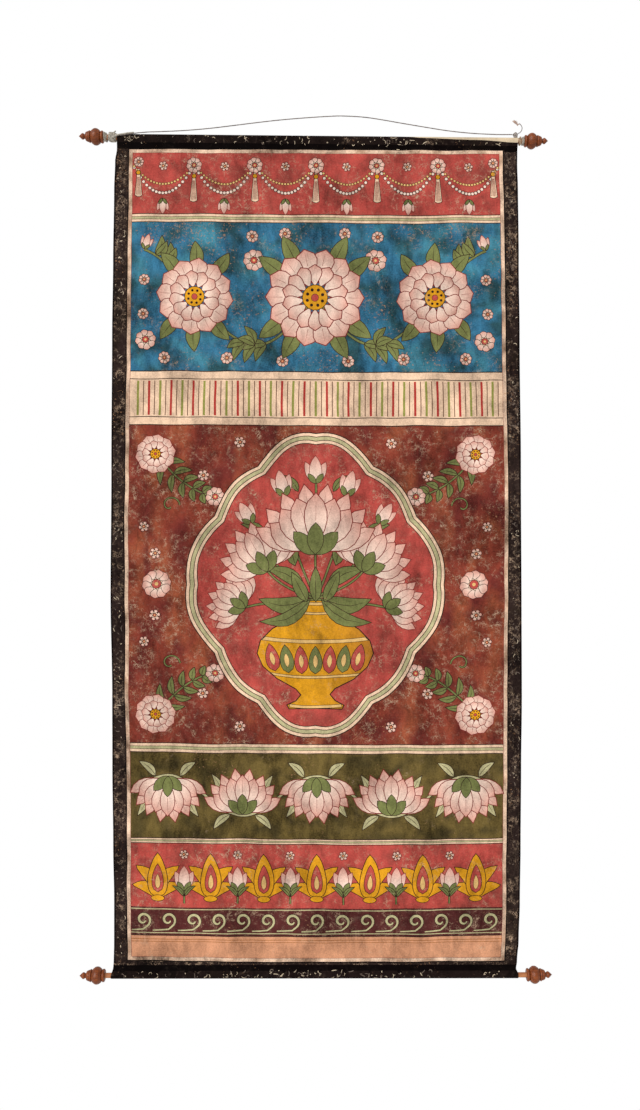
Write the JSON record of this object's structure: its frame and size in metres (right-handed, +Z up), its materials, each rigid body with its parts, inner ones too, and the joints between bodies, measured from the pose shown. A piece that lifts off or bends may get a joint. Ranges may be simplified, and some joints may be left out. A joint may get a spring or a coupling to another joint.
{
  "type": "painted cloth hanging on wooden rods",
  "caption": "Tall painted cotton banner with a rod pocket at head and foot, round wooden rods with turned finials, and a thin hanging cord.",
  "frame": {"origin": "top of the hanging cord, where a hook or nail carries the banner", "axes": "+Z up along the banner's height, +X to the right seen from the painted side, the painted face looks along -Y"},
  "size_m": [0.946, 0.0334, 1.7367],
  "materials": {
    "painted_cotton": "matt hand-painted cotton, black border, worn",
    "turned_wood": "turned red-brown wood, varnished",
    "rod_wood": "plain orange-brown wood, satin",
    "twine": "thin twisted grey-beige cord"
  },
  "bodies": {
    "root": {"painted_cloth": "painted_cotton", "top_rod": "rod_wood", "bottom_rod": "rod_wood", "finial_top_left": "turned_wood", "finial_top_right": "turned_wood", "finial_bottom_left": "turned_wood", "finial_bottom_right": "turned_wood", "cord_wrap_left_outer": "twine", "cord_wrap_left_inner": "twine", "cord_wrap_right_inner": "twine", "cord_wrap_right_outer": "twine", "cord_span": "twine", "cord_tail": "twine", "cord_knot": "twine", "cord_end_tuft": "twine"}
  },
  "joints": []
}
